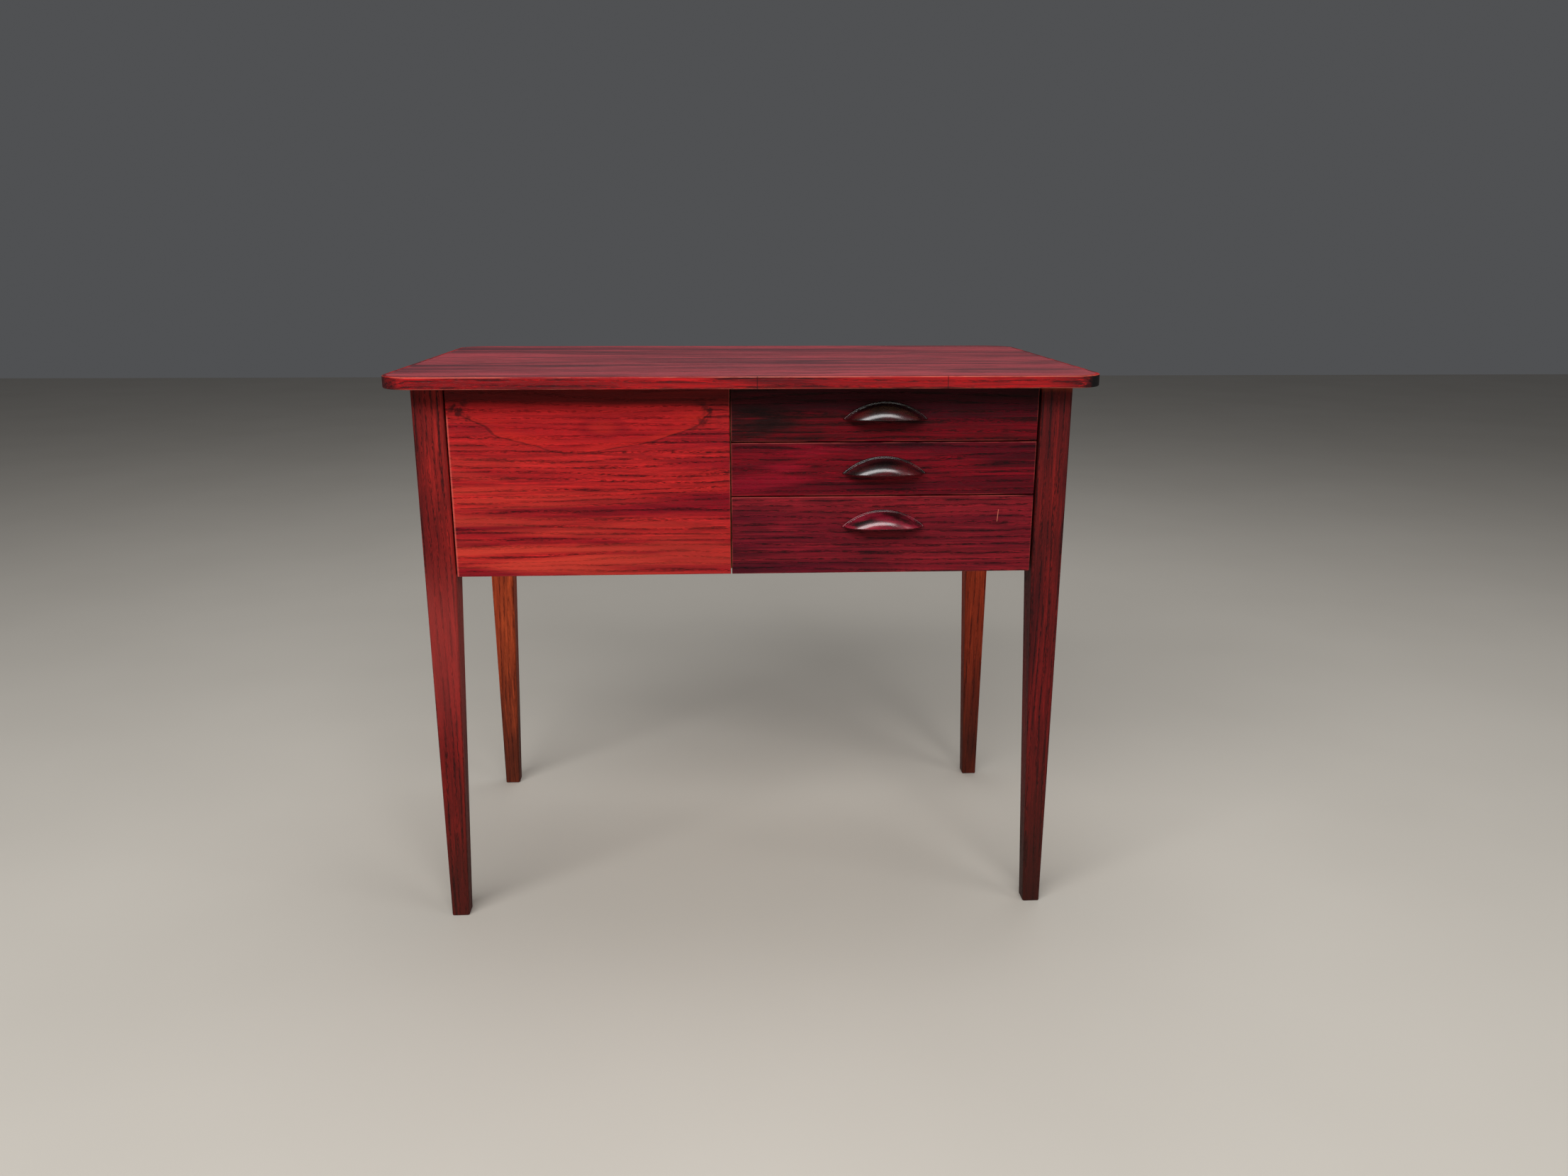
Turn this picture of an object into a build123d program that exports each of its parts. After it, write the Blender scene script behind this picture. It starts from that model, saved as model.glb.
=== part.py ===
from build123d import *
import os

# A small sewing table on four tapered legs. Three shallow drawers with carved cup pulls fill the
# right side, and one deep yarn drawer without a pull fills the left side.
#
# Frame: millimetres, +Z up, the front looks along -Y, +X is to the right of someone facing it.
# The origin lies on the floor, under the centre of the table top.

# ---- Table top ----
TOP_OVERHANG_X = 25.5  # past the outer faces of the legs
TOP_OVERHANG_Y = 28.5
TOP_THICKNESS = 12.0
TOP_CORNER_RADIUS = 33.0
LIPPING_THICKNESS = 4.0
LIPPING_ARRIS = 1.2
LIPPING_JOINTS_X = (10.0, 194.0)  # butt joints along the front lipping

# ---- Legs ----
LEG_SPREAD_X = 650.0  # over the outer faces
LEG_SPREAD_Y = 360.0
LEG_HEIGHT = 573.5
LEG_SECTION = 31.0
FOOT_SECTION = 18.5
LEG_ARRIS = 2.0
FOOT_ARRIS = 1.5
TAPER_BELOW_CASE = 2.0  # the two inner faces start to taper this far below the case

# ---- Case ----
CASE_HEIGHT = 190.0
SIDE_PANEL_THICKNESS = 18.0
BACK_PANEL_THICKNESS = 12.0
PANEL_SETBACK = 4.0  # panels stand back from the outer faces of the legs
PARTITION_THICKNESS = 16.0
PARTITION_X = -16.0
PARTITION_BEHIND_FRONTS = 1.5
RAIL_THICKNESS = 12.0
RAIL_DEPTH = 40.0
RAIL_INSET = 2.0  # bottom rails sit above the lower edge of the case
CLEAT_WIDTH = 14.0
CLEAT_END_GAP = 8.0

# ---- Drawer fronts and boxes ----
FRONT_THICKNESS = 14.0
FRONT_RECESS = 0.5  # fronts lie just behind the faces of the legs
FRONT_ARRIS = 0.8
LEFT_LEG_GAP = 1.5
RIGHT_LEG_GAP = 2.5
TOP_GAP = 1.5
FRONT_GAP = 1.2
UPPER_FRONT_SHARE = 0.281  # height of the top and the middle drawer, as a share of the case
BOX_SIDE_THICKNESS = 10.0
BOX_BACK_THICKNESS = 8.0
BOX_BACK_DROP = 4.0
BOX_BOTTOM_THICKNESS = 4.0
BOX_BOTTOM_RAISE = 5.0
BOX_GROOVE_DEPTH = 4.0
BOX_CLEARANCE = 2.0  # between a box and a rail
BOX_LIFT = 3.0
BOX_DROP = 6.0
BOX_BACK_GAP = 11.5
PARTITION_GAP = 1.0
TAIL_LENGTH = 9.0
TAIL_FLARE = 1.5
TAIL_PITCH = 20.0
TAIL_BASE_SHARE = 0.52  # width of a tail at its root, as a share of the pitch
DIVIDER_THICKNESS = 5.0
DIVIDER_HOUSING = 2.0
DIVIDER_COUNT = 2

# ---- Runners ----
RUNNER_HEIGHT = 10.0
RUNNER_CLEARANCE = 0.2
RUNNER_IN_GROOVE = 4.5
RUNNER_GROOVE_DEPTH = 5.0
RUNNER_STOP_GAP = 0.5
RUNNER_BACK_GAP = 1.0
YARN_RUNNER_BELOW_TOP = 30.0

# ---- Cup pulls ----
PULL_LENGTH = 85.0
PULL_HEIGHT = 17.5
PULL_PROJECTION = 16.5
PULL_RIM = 1.6
PULL_BELOW_FRONT_TOP = 31.0
PULL_LIP = 3.5
SCOOP_RADIUS = 10.0
SCOOP_HALF_LENGTH = 14.5

# ---- Fastenings ----
DOWEL_RADIUS = 4.0
DOWEL_DEPTH = 14.0
SMALL_DOWEL_RADIUS = 3.0
SMALL_DOWEL_DEPTH = 10.0
SCREW_RADIUS = 1.6
SCREW_HEAD_RADIUS = 3.2
SCREW_HEAD_HEIGHT = 1.9
SCREW_SLOT_WIDTH = 0.8
SCREW_SLOT_DEPTH = 0.9
SCREW_BITE = 11.0
TOP_SCREW_BITE = 8.0
PULL_SCREW_BITE = 5.0
PULL_SCREW_X = 28.5
PULL_SCREW_RAISE = 3.2

# ---- Places worked out from the sizes above ----
TOP_WIDTH = LEG_SPREAD_X + 2 * TOP_OVERHANG_X
TOP_DEPTH = LEG_SPREAD_Y + 2 * TOP_OVERHANG_Y
UPPER_FRONT_HEIGHT = CASE_HEIGHT * UPPER_FRONT_SHARE
HALF_X = LEG_SPREAD_X / 2
HALF_Y = LEG_SPREAD_Y / 2
LEG_INNER_X = HALF_X - LEG_SECTION
LEG_INNER_Y = HALF_Y - LEG_SECTION
CASE_BOTTOM = LEG_HEIGHT - CASE_HEIGHT
SIDE_INNER_X = HALF_X - PANEL_SETBACK - SIDE_PANEL_THICKNESS
BACK_INNER_Y = HALF_Y - PANEL_SETBACK - BACK_PANEL_THICKNESS
PARTITION_LEFT = PARTITION_X - PARTITION_THICKNESS / 2
PARTITION_RIGHT = PARTITION_X + PARTITION_THICKNESS / 2
FRONT_FACE_Y = -HALF_Y + FRONT_RECESS
FRONT_BACK_Y = FRONT_FACE_Y + FRONT_THICKNESS
BOX_BACK_Y = BACK_INNER_Y - BOX_BACK_GAP
RAIL_FRONT_Y = -LEG_INNER_Y
RAIL_BACK_Y = RAIL_FRONT_Y + RAIL_DEPTH
FRONT_TOP_Z = LEG_HEIGHT - TOP_GAP
LOW_BOX_Z = CASE_BOTTOM + RAIL_INSET + RAIL_THICKNESS + BOX_CLEARANCE
HIGH_BOX_Z = LEG_HEIGHT - RAIL_THICKNESS - BOX_CLEARANCE
RUNNER_START_Y = RAIL_FRONT_Y

cutters = {}  # solids that are taken out of the named node before it is written
parts = {}


def block(x, y, z):
    """Box between the two given values on each axis."""
    centre = Pos((x[0] + x[1]) / 2, (y[0] + y[1]) / 2, (z[0] + z[1]) / 2)
    return centre * Box(x[1] - x[0], y[1] - y[0], z[1] - z[0])


def cut(node, *solids):
    """Remember solids to take out of a node."""
    cutters.setdefault(node, []).extend(solids)


def peg(centre, direction, radius, depth):
    """Round dowel centred on a joint line, depth deep in each of the two pieces."""
    return Plane(origin=centre, z_dir=direction) * Cylinder(radius, 2 * depth)


def screw(head, direction, length):
    """Countersunk slotted screw and the hole it fills, from the centre of its head's face."""
    shank_length = length - SCREW_HEAD_HEIGHT
    cone = Pos(0, 0, SCREW_HEAD_HEIGHT / 2) * Cone(SCREW_HEAD_RADIUS, SCREW_RADIUS, SCREW_HEAD_HEIGHT)
    shank = Pos(0, 0, SCREW_HEAD_HEIGHT + shank_length / 2) * Cylinder(SCREW_RADIUS, shank_length)
    hole = cone + shank
    slot = Pos(0, 0, SCREW_SLOT_DEPTH / 2) * Box(
        2 * SCREW_HEAD_RADIUS + 1, SCREW_SLOT_WIDTH, SCREW_SLOT_DEPTH
    )
    place = Plane(origin=head, z_dir=direction)
    return place * (hole - slot), place * hole


def rounded_slab(width, depth, radius, thickness, z):
    """Flat board with rounded corners, its underside at height z."""
    return Pos(0, 0, z) * extrude(RectangleRounded(width, depth, radius), thickness)


# ---- Table top: a veneered panel with a solid lipping glued round it in segments ----
def make_top():
    panel_width = TOP_WIDTH - 2 * LIPPING_THICKNESS
    panel_depth = TOP_DEPTH - 2 * LIPPING_THICKNESS
    panel_radius = TOP_CORNER_RADIUS - LIPPING_THICKNESS
    panel = rounded_slab(panel_width, panel_depth, panel_radius, TOP_THICKNESS, LEG_HEIGHT)
    whole = rounded_slab(TOP_WIDTH, TOP_DEPTH, TOP_CORNER_RADIUS, TOP_THICKNESS, LEG_HEIGHT)
    rims = whole.edges().filter_by(Plane.XY)
    ring = fillet(rims, LIPPING_ARRIS) - panel
    z = (LEG_HEIGHT, LEG_HEIGHT + TOP_THICKNESS)
    x_end, y_end = TOP_WIDTH / 2, TOP_DEPTH / 2
    x_in, y_in = x_end - TOP_CORNER_RADIUS, y_end - TOP_CORNER_RADIUS
    stops = (-x_in, *LIPPING_JOINTS_X, x_in)
    lengths = [block(pair, (-y_end, -y_in), z) for pair in zip(stops, stops[1:])]
    lengths += [block((-x_in, x_in), (y_in, y_end), z)]
    for side in (-1, 1):
        across = sorted((side * x_in, side * x_end))
        lengths += [block(across, (-y_in, y_in), z)]
        lengths += [block(across, (-y_end, -y_in), z), block(across, (y_in, y_end), z)]
    parts["top_panel"] = [panel]
    parts["top_lipping"] = [ring & length for length in lengths]


# ---- Legs: square at the case, tapered on the two inner faces down to the foot ----
def make_leg(side, end):
    taper_z = CASE_BOTTOM - TAPER_BELOW_CASE

    def section(size, z):
        place = Pos(side * (HALF_X - size / 2), end * (HALF_Y - size / 2), z)
        return place * RectangleRounded(size, size, LEG_ARRIS)

    leg = loft([section(FOOT_SECTION, 0), section(LEG_SECTION, taper_z)], ruled=True)
    leg = fillet(leg.faces().sort_by(Axis.Z)[0].edges(), FOOT_ARRIS)
    leg += extrude(section(LEG_SECTION, taper_z), LEG_HEIGHT - taper_z)
    names = {(-1, -1): "leg_front_left", (1, -1): "leg_front_right"}
    names |= {(-1, 1): "leg_back_left", (1, 1): "leg_back_right"}
    parts[names[side, end]] = [leg]
    return names[side, end]


# ---- Case: side panels and back panel dowelled between the legs ----
def make_case():
    z = (CASE_BOTTOM, LEG_HEIGHT)
    heights = [CASE_BOTTOM + CASE_HEIGHT * share for share in (0.2, 0.5, 0.8)]
    side_dowels, back_dowels = [], []
    for side, name in ((-1, "side_panel_left"), (1, "side_panel_right")):
        x = sorted((side * SIDE_INNER_X, side * (SIDE_INNER_X + SIDE_PANEL_THICKNESS)))
        parts[name] = [block(x, (-LEG_INNER_Y, LEG_INNER_Y), z)]
        for end in (-1, 1):
            leg = make_leg(side, end)
            for height in heights:
                centre = (sum(x) / 2, end * LEG_INNER_Y, height)
                dowel = peg(centre, (0, 1, 0), DOWEL_RADIUS, DOWEL_DEPTH)
                side_dowels.append(dowel)
                cut(leg, dowel)
                cut(name, dowel)
    y = (BACK_INNER_Y, BACK_INNER_Y + BACK_PANEL_THICKNESS)
    parts["back_panel"] = [block((-LEG_INNER_X, LEG_INNER_X), y, z)]
    for side, leg in ((-1, "leg_back_left"), (1, "leg_back_right")):
        for height in heights:
            # These lie between the heights of the side panel dowels.
            centre = (side * LEG_INNER_X, sum(y) / 2, height - CASE_HEIGHT / 10)
            dowel = peg(centre, (1, 0, 0), SMALL_DOWEL_RADIUS, SMALL_DOWEL_DEPTH)
            back_dowels.append(dowel)
            cut(leg, dowel)
            cut("back_panel", dowel)
    parts["side_panel_dowels"] = side_dowels
    parts["back_panel_dowels"] = back_dowels


# ---- Partition, and the flat rails that tie the sides together at top and bottom ----
def make_partition_and_rails():
    y = (FRONT_BACK_Y + PARTITION_BEHIND_FRONTS, BACK_INNER_Y)
    z = (CASE_BOTTOM + RAIL_INSET, LEG_HEIGHT)
    parts["partition"] = [block((PARTITION_LEFT, PARTITION_RIGHT), y, z)]
    screws = []
    for share in (0.15, 0.5, 0.85):
        head = (PARTITION_X, BACK_INNER_Y + BACK_PANEL_THICKNESS, z[0] + share * (z[1] - z[0]))
        body, hole = screw(head, (0, -1, 0), BACK_PANEL_THICKNESS + SCREW_BITE)
        screws.append(body)
        cut("back_panel", hole)
        cut("partition", hole)
    parts["partition_screws"] = screws
    levels = {
        "front_bottom_rails": CASE_BOTTOM + RAIL_INSET,
        "front_top_rails": LEG_HEIGHT - RAIL_THICKNESS,
    }
    spans = {
        "side_panel_left": (-SIDE_INNER_X, PARTITION_LEFT),
        "side_panel_right": (PARTITION_RIGHT, SIDE_INNER_X),
    }
    dowels = []
    for node, bottom in levels.items():
        parts[node] = []
        for panel, x in spans.items():
            parts[node].append(block(x, (RAIL_FRONT_Y, RAIL_BACK_Y), (bottom, bottom + RAIL_THICKNESS)))
            outer = x[0] if panel == "side_panel_left" else x[1]
            # One dowel in the side panel, and one in the partition that is staggered from its twin.
            inner_share = 0.3 if panel == "side_panel_left" else 0.7
            inner = x[1] if panel == "side_panel_left" else x[0]
            for joint_x, joint_node, share in ((outer, panel, 0.5), (inner, "partition", inner_share)):
                centre = (joint_x, RAIL_FRONT_Y + share * RAIL_DEPTH, bottom + RAIL_THICKNESS / 2)
                dowel = peg(centre, (1, 0, 0), SMALL_DOWEL_RADIUS, SMALL_DOWEL_DEPTH)
                dowels.append(dowel)
                cut(node, dowel)
                cut(joint_node, dowel)
    parts["rail_dowels"] = dowels


# ---- Cleats under the top, and the screws that hold the top down ----
def make_top_fixings():
    z = (LEG_HEIGHT - RAIL_THICKNESS, LEG_HEIGHT)
    y = (RAIL_BACK_Y + CLEAT_END_GAP, LEG_INNER_Y - CLEAT_END_GAP)
    parts["top_cleats"] = []
    top_screws, cleat_screws = [], []
    for side, panel in ((-1, "side_panel_left"), (1, "side_panel_right")):
        x = sorted((side * SIDE_INNER_X, side * (SIDE_INNER_X - CLEAT_WIDTH)))
        parts["top_cleats"].append(block(x, y, z))
        for share in (0.15, 0.85):
            head = (sum(x) / 2, y[0] + share * (y[1] - y[0]), z[0])
            body, hole = screw(head, (0, 0, 1), RAIL_THICKNESS + TOP_SCREW_BITE)
            top_screws.append(body)
            cut("top_cleats", hole)
            cut("top_panel", hole)
        for share in (0.3, 0.7):
            face_x = side * (SIDE_INNER_X - CLEAT_WIDTH)
            head = (face_x, y[0] + share * (y[1] - y[0]), sum(z) / 2)
            body, hole = screw(head, (side, 0, 0), CLEAT_WIDTH + SCREW_BITE)
            cleat_screws.append(body)
            cut("top_cleats", hole)
            cut(panel, hole)
    for x in ((-SIDE_INNER_X + PARTITION_LEFT) / 2, (SIDE_INNER_X + PARTITION_RIGHT) / 2):
        head = (x, (RAIL_FRONT_Y + RAIL_BACK_Y) / 2, z[0])
        body, hole = screw(head, (0, 0, 1), RAIL_THICKNESS + TOP_SCREW_BITE)
        top_screws.append(body)
        cut("front_top_rails", hole)
        cut("top_panel", hole)
    parts["top_screws"] = top_screws
    parts["cleat_screws"] = cleat_screws


# ---- Runners: hardwood strips that the grooved drawer sides hang on ----
def make_runners(drawer, x, runner_z, walls):
    """x holds the outer faces of the box, walls the case face and its node on each side."""
    z = (runner_z - RUNNER_HEIGHT / 2, runner_z + RUNNER_HEIGHT / 2)
    y = (RUNNER_START_Y, LEG_INNER_Y - RUNNER_BACK_GAP)
    node = f"{drawer}_runners"
    parts[node] = []
    screws = []
    for side, box_face, (wall_x, wall_node) in zip((-1, 1), x, walls):
        tip_x = box_face - side * RUNNER_IN_GROOVE
        parts[node].append(block(sorted((tip_x, wall_x)), y, z))
        for share in (0.1, 0.5, 0.9):
            head = (tip_x, y[0] + share * (y[1] - y[0]), runner_z)
            body, hole = screw(head, (side, 0, 0), abs(wall_x - tip_x) + SCREW_BITE)
            screws.append(body)
            cut(node, hole)
            cut(wall_node, hole)
    parts["runner_screws"] = parts.get("runner_screws", []) + screws


# ---- Cup pull: a segment of a turned disc with a finger scoop cut in from below ----
def make_pull(centre_x, chord_z):
    half = PULL_LENGTH / 2
    rim = (half**2 + PULL_HEIGHT**2) / (2 * PULL_HEIGHT)  # radius of the disc
    cut_radius = rim - PULL_HEIGHT
    hub = cut_radius - 2.0
    neck = rim - PULL_RIM
    face = [(hub, 0), (rim, 0), (rim, PULL_RIM), (neck, PULL_RIM)]
    outline = Polyline(*face) + EllipticalCenterArc(
        (cut_radius, PULL_RIM), neck - cut_radius, PULL_PROJECTION - PULL_RIM, start_angle=0, arc_size=90
    )
    outline += Polyline((cut_radius, PULL_PROJECTION), (hub, PULL_PROJECTION), (hub, 0))
    disc = revolve(make_face(outline), Axis.Y, 360)
    keep = Pos(0, PULL_PROJECTION / 2, rim / 2 + cut_radius) * Box(PULL_LENGTH + 2, PULL_PROJECTION, rim)
    scoop_y = PULL_PROJECTION - PULL_LIP - SCOOP_RADIUS
    ends = [Pos(s * SCOOP_HALF_LENGTH, scoop_y, cut_radius) * Sphere(SCOOP_RADIUS) for s in (-1, 1)]
    barrel = Pos(0, scoop_y, cut_radius) * Rot(0, 90, 0) * Cylinder(SCOOP_RADIUS, 2 * SCOOP_HALF_LENGTH)
    pull = (disc & keep) - barrel - ends[0] - ends[1]
    # The disc is turned round Y with its flat face at y = 0; turned over, it points out of the front.
    return Pos(centre_x, FRONT_FACE_Y, chord_z - cut_radius) * Rot(0, 0, 180) * pull


# ---- Drawer box: dovetailed sides, a back in housings, and a bottom in grooves ----
def side_with_tails(x, z):
    """One drawer side and its tails, which reach forward into the front."""
    side = block(x, (FRONT_BACK_Y, BOX_BACK_Y), z)
    count = max(2, round((z[1] - z[0]) / TAIL_PITCH))
    pitch = (z[1] - z[0]) / count
    root = pitch * TAIL_BASE_SHARE / 2
    tip = root + TAIL_FLARE
    tails = []
    for index in range(count):
        middle = z[0] + pitch * (index + 0.5)
        outline = [
            (FRONT_BACK_Y, middle - root), (FRONT_BACK_Y - TAIL_LENGTH, middle - tip),
            (FRONT_BACK_Y - TAIL_LENGTH, middle + tip), (FRONT_BACK_Y, middle + root),
        ]
        face = Plane.YZ * make_face(Polyline(*outline, close=True))
        tails.append(Pos(x[0], 0, 0) * extrude(face, x[1] - x[0]))
    for tail in tails:
        side += tail
    return side, tails


def make_drawer(drawer, front_x, front_z, box_x, box_z, walls, runner_z, with_pull):
    front = block(front_x, (FRONT_FACE_Y, FRONT_BACK_Y), front_z)
    front = fillet(front.faces().sort_by(Axis.Y)[0].edges(), FRONT_ARRIS)
    left, left_tails = side_with_tails((box_x[0], box_x[0] + BOX_SIDE_THICKNESS), box_z)
    right, right_tails = side_with_tails((box_x[1] - BOX_SIDE_THICKNESS, box_x[1]), box_z)
    inner_x = (box_x[0] + BOX_SIDE_THICKNESS, box_x[1] - BOX_SIDE_THICKNESS)
    housed_x = (inner_x[0] - BOX_GROOVE_DEPTH, inner_x[1] + BOX_GROOVE_DEPTH)
    bottom_z = box_z[0] + BOX_BOTTOM_RAISE
    floor_z = bottom_z + BOX_BOTTOM_THICKNESS
    bottom = block(housed_x, (FRONT_BACK_Y - BOX_GROOVE_DEPTH, BOX_BACK_Y), (bottom_z, floor_z))
    back_y = (BOX_BACK_Y - 2 * BOX_BACK_THICKNESS, BOX_BACK_Y - BOX_BACK_THICKNESS)
    back = block(housed_x, back_y, (floor_z, box_z[1] - BOX_BACK_DROP))
    groove_z = (
        runner_z - RUNNER_HEIGHT / 2 - RUNNER_CLEARANCE,
        runner_z + RUNNER_HEIGHT / 2 + RUNNER_CLEARANCE,
    )
    groove_y = (RUNNER_START_Y - RUNNER_STOP_GAP, BOX_BACK_Y)
    grooves = [
        block((box_x[0], box_x[0] + RUNNER_GROOVE_DEPTH), groove_y, groove_z),
        block((box_x[1] - RUNNER_GROOVE_DEPTH, box_x[1]), groove_y, groove_z),
    ]
    parts[f"{drawer}_front"] = [front]
    parts[f"{drawer}_side_left"] = [left]
    parts[f"{drawer}_side_right"] = [right]
    parts[f"{drawer}_back"] = [back]
    parts[f"{drawer}_bottom"] = [bottom]
    cut(f"{drawer}_front", *left_tails, *right_tails, bottom)
    cut(f"{drawer}_side_left", grooves[0], bottom, back)
    cut(f"{drawer}_side_right", grooves[1], bottom, back)
    make_runners(drawer, box_x, runner_z, walls)
    if with_pull:
        centre_x = sum(front_x) / 2
        chord_z = front_z[1] - PULL_BELOW_FRONT_TOP
        parts[f"{drawer}_pull"] = [make_pull(centre_x, chord_z)]
        parts[f"{drawer}_pull_screws"] = []
        for offset in (-PULL_SCREW_X, PULL_SCREW_X):
            head = (centre_x + offset, FRONT_BACK_Y, chord_z + PULL_SCREW_RAISE)
            body, hole = screw(head, (0, -1, 0), FRONT_THICKNESS + PULL_SCREW_BITE)
            parts[f"{drawer}_pull_screws"].append(body)
            cut(f"{drawer}_pull", hole)
            cut(f"{drawer}_front", hole)
    return inner_x, (FRONT_BACK_Y, back_y[0]), (floor_z, box_z[1])


def make_dividers(drawer, inner_x, inner_y, inner_z):
    """Upright dividers from front to back, let into the drawer's front and back."""
    width = (inner_x[1] - inner_x[0]) / (DIVIDER_COUNT + 1)
    y = (inner_y[0] - DIVIDER_HOUSING, inner_y[1] + DIVIDER_HOUSING)
    z = (inner_z[0], inner_z[1] - 2 * BOX_BACK_DROP)
    node = f"{drawer}_dividers"
    parts[node] = []
    for index in range(DIVIDER_COUNT):
        middle = inner_x[0] + width * (index + 1)
        divider = block((middle - DIVIDER_THICKNESS / 2, middle + DIVIDER_THICKNESS / 2), y, z)
        parts[node].append(divider)
        cut(f"{drawer}_front", divider)
        cut(f"{drawer}_back", divider)


def make_drawers():
    right_front_x = (PARTITION_X + FRONT_GAP / 2, LEG_INNER_X - RIGHT_LEG_GAP)
    right_box_x = (PARTITION_RIGHT + PARTITION_GAP, LEG_INNER_X - RIGHT_LEG_GAP)
    right_walls = ((PARTITION_RIGHT, "partition"), (SIDE_INNER_X, "side_panel_right"))
    top_z = (FRONT_TOP_Z - UPPER_FRONT_HEIGHT, FRONT_TOP_Z)
    middle_z = (top_z[0] - FRONT_GAP - UPPER_FRONT_HEIGHT, top_z[0] - FRONT_GAP)
    bottom_z = (CASE_BOTTOM, middle_z[0] - FRONT_GAP)
    boxes = {
        "top_drawer": (top_z, (top_z[0] + BOX_LIFT, HIGH_BOX_Z)),
        "middle_drawer": (middle_z, (middle_z[0] + BOX_LIFT, middle_z[1] - BOX_DROP)),
        "bottom_drawer": (bottom_z, (LOW_BOX_Z, bottom_z[1] - BOX_DROP)),
    }
    for drawer, (front_z, box_z) in boxes.items():
        runner_z = sum(box_z) / 2 + BOX_BOTTOM_THICKNESS
        inside = make_drawer(
            drawer, right_front_x, front_z, right_box_x, box_z, right_walls, runner_z, True
        )
        if drawer == "top_drawer":
            make_dividers(drawer, *inside)
    left_front_x = (-LEG_INNER_X + LEFT_LEG_GAP, PARTITION_X - FRONT_GAP / 2)
    left_box_x = (-LEG_INNER_X + LEFT_LEG_GAP, PARTITION_LEFT - PARTITION_GAP)
    left_walls = ((-SIDE_INNER_X, "side_panel_left"), (PARTITION_LEFT, "partition"))
    make_drawer(
        "yarn_drawer", left_front_x, (CASE_BOTTOM, FRONT_TOP_Z), left_box_x,
        (LOW_BOX_Z, HIGH_BOX_Z), left_walls, HIGH_BOX_Z - YARN_RUNNER_BELOW_TOP, False,
    )


# ---- Build everything, take out the joints' holes, and write one file per node ----
make_top()
make_case()
make_partition_and_rails()
make_top_fixings()
make_drawers()

os.makedirs("parts", exist_ok=True)
for node, solids in parts.items():
    finished = []
    for solid in solids:
        for cutter in cutters.get(node, []):
            if solid.bounding_box().overlaps(cutter.bounding_box()):
                solid = solid - cutter
        finished.extend(solid.solids())
    export_step(Compound(finished) if len(finished) > 1 else finished[0], f"parts/{node}.step")
print(len(parts), "nodes")
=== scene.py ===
import math

import bmesh
import bpy
from mathutils import Matrix, Vector


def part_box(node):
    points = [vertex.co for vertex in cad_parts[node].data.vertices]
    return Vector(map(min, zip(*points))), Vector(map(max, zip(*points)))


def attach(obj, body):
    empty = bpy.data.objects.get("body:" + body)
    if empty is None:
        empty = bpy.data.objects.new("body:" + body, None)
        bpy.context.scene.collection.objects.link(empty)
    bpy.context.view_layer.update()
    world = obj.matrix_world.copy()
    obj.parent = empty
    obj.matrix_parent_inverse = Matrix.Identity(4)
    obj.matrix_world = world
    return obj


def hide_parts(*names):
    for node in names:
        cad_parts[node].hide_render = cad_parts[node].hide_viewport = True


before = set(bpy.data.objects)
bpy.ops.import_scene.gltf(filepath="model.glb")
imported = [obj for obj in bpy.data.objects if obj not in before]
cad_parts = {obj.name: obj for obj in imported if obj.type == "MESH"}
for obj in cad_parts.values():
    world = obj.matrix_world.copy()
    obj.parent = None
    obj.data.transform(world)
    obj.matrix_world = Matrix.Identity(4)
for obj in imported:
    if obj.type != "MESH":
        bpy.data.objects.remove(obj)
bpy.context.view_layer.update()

# ---- Top panel ----
# A flat core under veneer, its long grain running the width of the table. The upper face is
# stained red and rubbed to a satin lacquer, and the underside was left bare.


class Value:
    """A number that changes over the surface, with ordinary arithmetic."""

    def __init__(self, finish, socket):
        self.finish, self.socket = finish, socket

    def math(self, operation, *values):
        return self.finish.make("ShaderNodeMath", {"operation": operation}, dict(enumerate(values)))

    def __add__(self, other):
        return self.math("ADD", self, other)

    def __sub__(self, other):
        return self.math("SUBTRACT", self, other)

    def __rsub__(self, other):
        return self.math("SUBTRACT", other, self)

    def __mul__(self, other):
        return self.math("MULTIPLY", self, other)

    def __truediv__(self, other):
        return self.math("DIVIDE", self, other)

    __radd__, __rmul__ = __add__, __mul__

    def size(self):
        return self.math("ABSOLUTE", self)

    def larger(self, other):
        return self.math("MAXIMUM", self, other)

    def root(self):
        return self.math("SQRT", self)

    def wave(self):
        return self.math("SINE", self)

    def rise(self, low, high):
        """0 below low, 1 above high and a smooth climb between; high below low turns it round."""
        span = {"Value": self, "From Min": low, "From Max": high}
        if high < low:
            span = {"Value": self, "From Min": high, "From Max": low, "To Min": 1.0, "To Max": 0.0}
        return self.finish.make("ShaderNodeMapRange", {"interpolation_type": "SMOOTHSTEP"}, span)


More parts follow.
